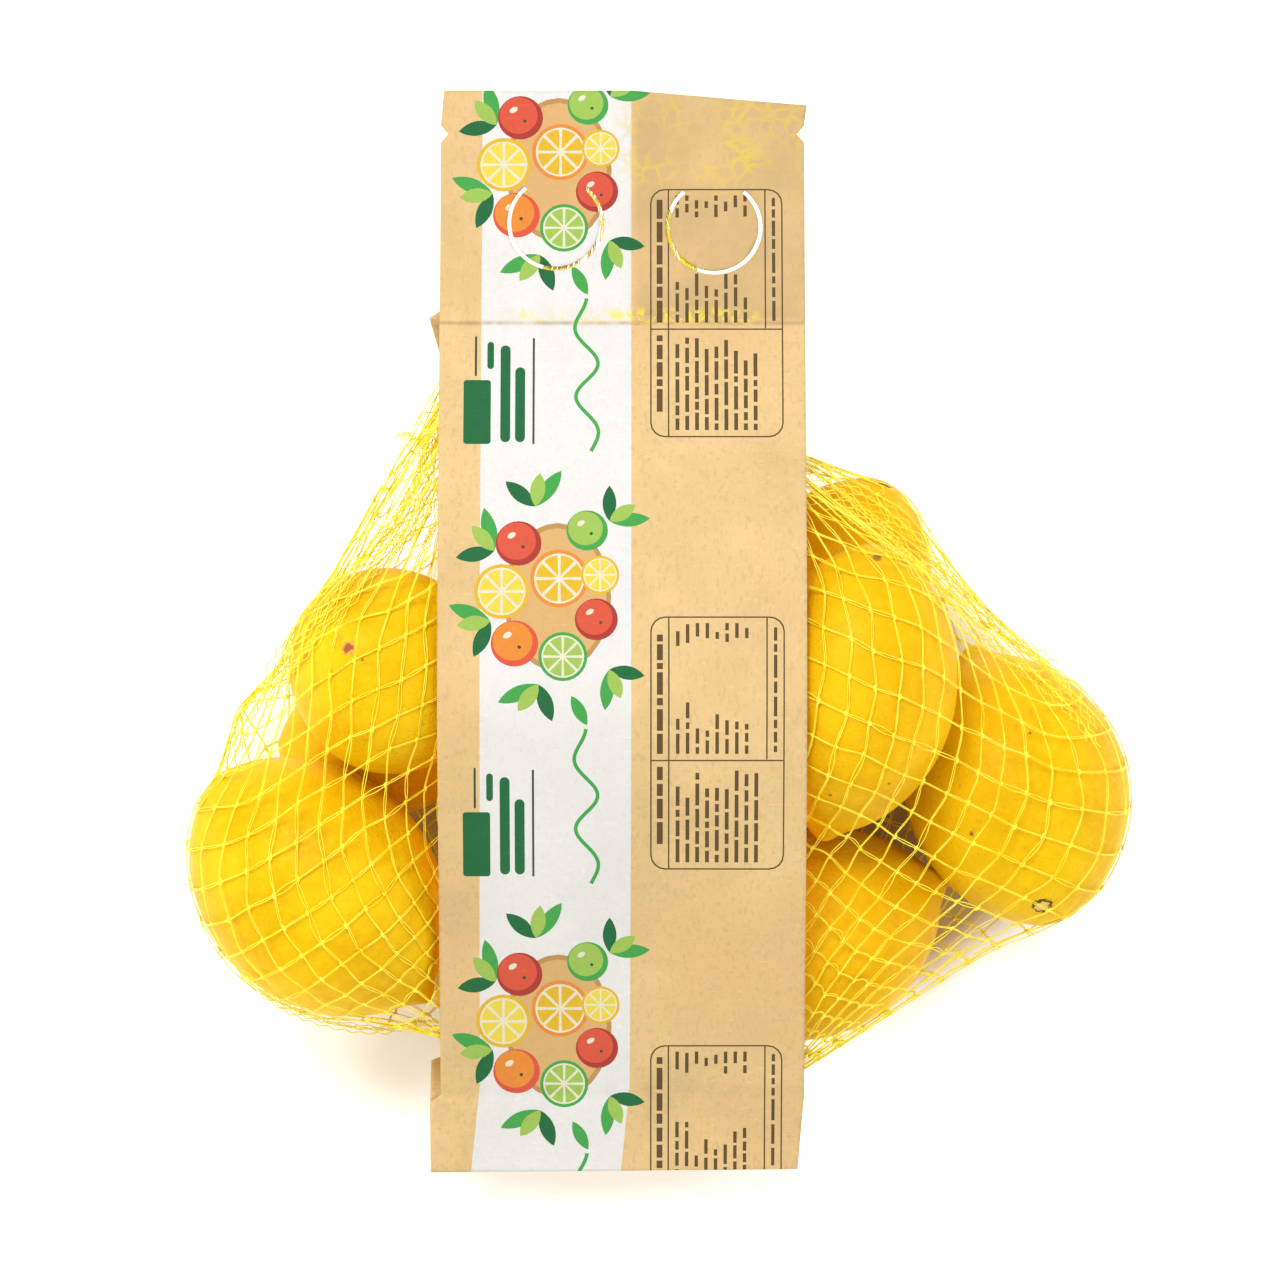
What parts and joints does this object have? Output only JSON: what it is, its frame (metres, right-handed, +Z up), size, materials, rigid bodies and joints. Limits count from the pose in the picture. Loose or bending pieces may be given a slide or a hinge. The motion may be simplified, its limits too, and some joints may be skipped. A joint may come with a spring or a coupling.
{
  "type": "net bag of lemons",
  "caption": "Knitted net bag of lemons lying flat, with front and back paper carrying bands welded together at both ends, the upper flap with two finger cuts.",
  "frame": {"origin": "centre of the lying pack's footprint, on the floor", "axes": "+Y along the paper band towards the carrying flap, +X to the right seen from above, +Z up out of the shown face"},
  "size_m": [0.2579, 0.297, 0.0993],
  "materials": {
    "net": "yellow knitted plastic net over lemon rind",
    "kraft_front": "uncoated light kraft paper with a white printed stripe",
    "kraft_back": "uncoated light kraft paper"
  },
  "bodies": {
    "root": {"net_bag": "net", "band_front": "kraft_front", "band_back": "kraft_back"}
  },
  "joints": []
}
